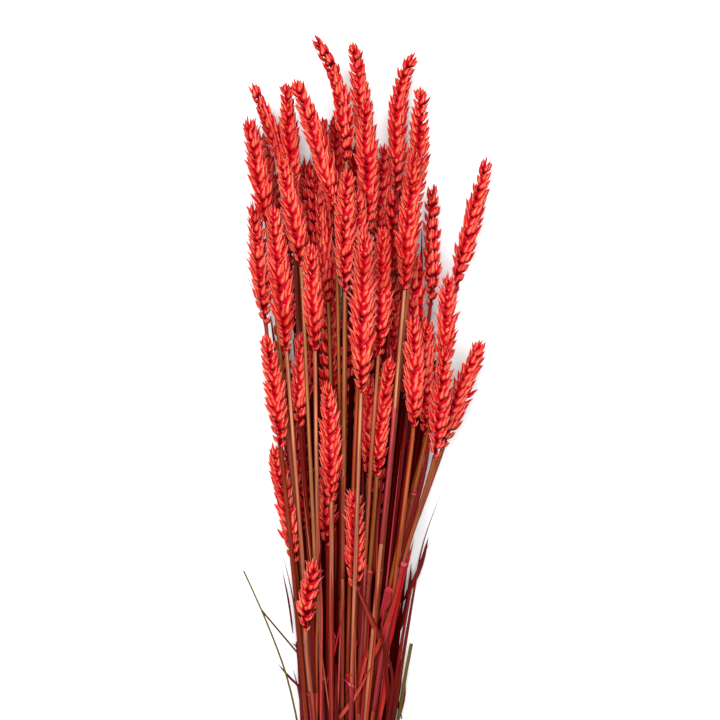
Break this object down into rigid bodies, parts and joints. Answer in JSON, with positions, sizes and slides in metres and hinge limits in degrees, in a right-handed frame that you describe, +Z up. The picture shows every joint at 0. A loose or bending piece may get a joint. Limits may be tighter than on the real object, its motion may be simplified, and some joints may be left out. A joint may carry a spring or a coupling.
{
  "type": "bunch of dyed wheat ears",
  "caption": "Bunch of dyed dried wheat lying down: awnless ears on long cut straws, fanned out from a twine tie.",
  "frame": {"origin": "centre of the bounding box, at the level of the surface that the bunch lies on", "axes": "+Y along the bunch from the cut ends to the ear tips, +Z up from the table, +X to the right when seen from above with the ears pointing away"},
  "size_m": [0.1588, 0.643, 0.1049],
  "materials": {
    "dyed_wheat": "matte dry husk, dyed coral red with crimson edges and an orange middle",
    "dyed_straw": "satin straw, dyed orange brown to dark red, with fine lengthwise streaks",
    "dyed_leaf": "matte papery leaf, pink red to olive, with parallel veins",
    "twine": "rough natural jute twine, twisted from strands"
  },
  "bodies": {
    "root": {"wheat_stalk_01": "dyed_wheat", "wheat_stalk_02": "dyed_wheat", "wheat_stalk_03": "dyed_wheat", "wheat_stalk_04": "dyed_wheat", "wheat_stalk_05": "dyed_wheat", "wheat_stalk_06": "dyed_wheat", "wheat_stalk_07": "dyed_wheat", "wheat_stalk_08": "dyed_wheat", "wheat_stalk_09": "dyed_wheat", "wheat_stalk_10": "dyed_wheat", "wheat_stalk_11": "dyed_wheat", "wheat_stalk_12": "dyed_wheat", "wheat_stalk_13": "dyed_wheat", "wheat_stalk_14": "dyed_wheat", "wheat_stalk_15": "dyed_wheat", "wheat_stalk_16": "dyed_wheat", "wheat_stalk_17": "dyed_wheat", "wheat_stalk_18": "dyed_wheat", "wheat_stalk_19": "dyed_wheat", "wheat_stalk_20": "dyed_wheat", "wheat_stalk_21": "dyed_wheat", "wheat_stalk_22": "dyed_wheat", "wheat_stalk_23": "dyed_wheat", "wheat_stalk_24": "dyed_wheat", "wheat_stalk_25": "dyed_wheat", "wheat_stalk_26": "dyed_wheat", "wheat_stalk_27": "dyed_wheat", "wheat_stalk_28": "dyed_wheat", "wheat_stalk_29": "dyed_wheat", "wheat_stalk_30": "dyed_wheat", "wheat_stalk_31": "dyed_wheat", "wheat_stalk_32": "dyed_wheat", "wheat_stalk_33": "dyed_wheat", "wheat_stalk_34": "dyed_wheat", "wheat_stalk_35": "dyed_wheat", "wheat_stalk_36": "dyed_wheat", "wheat_stalk_37": "dyed_wheat", "wheat_stalk_38": "dyed_wheat", "wheat_stalk_39": "dyed_wheat", "wheat_stalk_40": "dyed_wheat", "wheat_stalk_41": "dyed_wheat", "wheat_stalk_42": "dyed_wheat", "wheat_stalk_43": "dyed_wheat", "wheat_stalk_44": "dyed_wheat", "wheat_stalk_45": "dyed_wheat", "wheat_stalk_46": "dyed_wheat", "wheat_stalk_47": "dyed_wheat", "wheat_stalk_48": "dyed_wheat", "wheat_stalk_49": "dyed_wheat", "wheat_stalk_50": "dyed_wheat", "bare_straw_1": "dyed_straw", "bare_straw_2": "dyed_straw", "dry_leaf_1": "dyed_leaf", "dry_leaf_2": "dyed_leaf", "dry_leaf_3": "dyed_leaf", "dry_leaf_4": "dyed_leaf", "dry_leaf_5": "dyed_leaf", "dry_leaf_6": "dyed_leaf", "dry_leaf_7": "dyed_leaf", "twine_tie": "twine"}
  },
  "joints": []
}
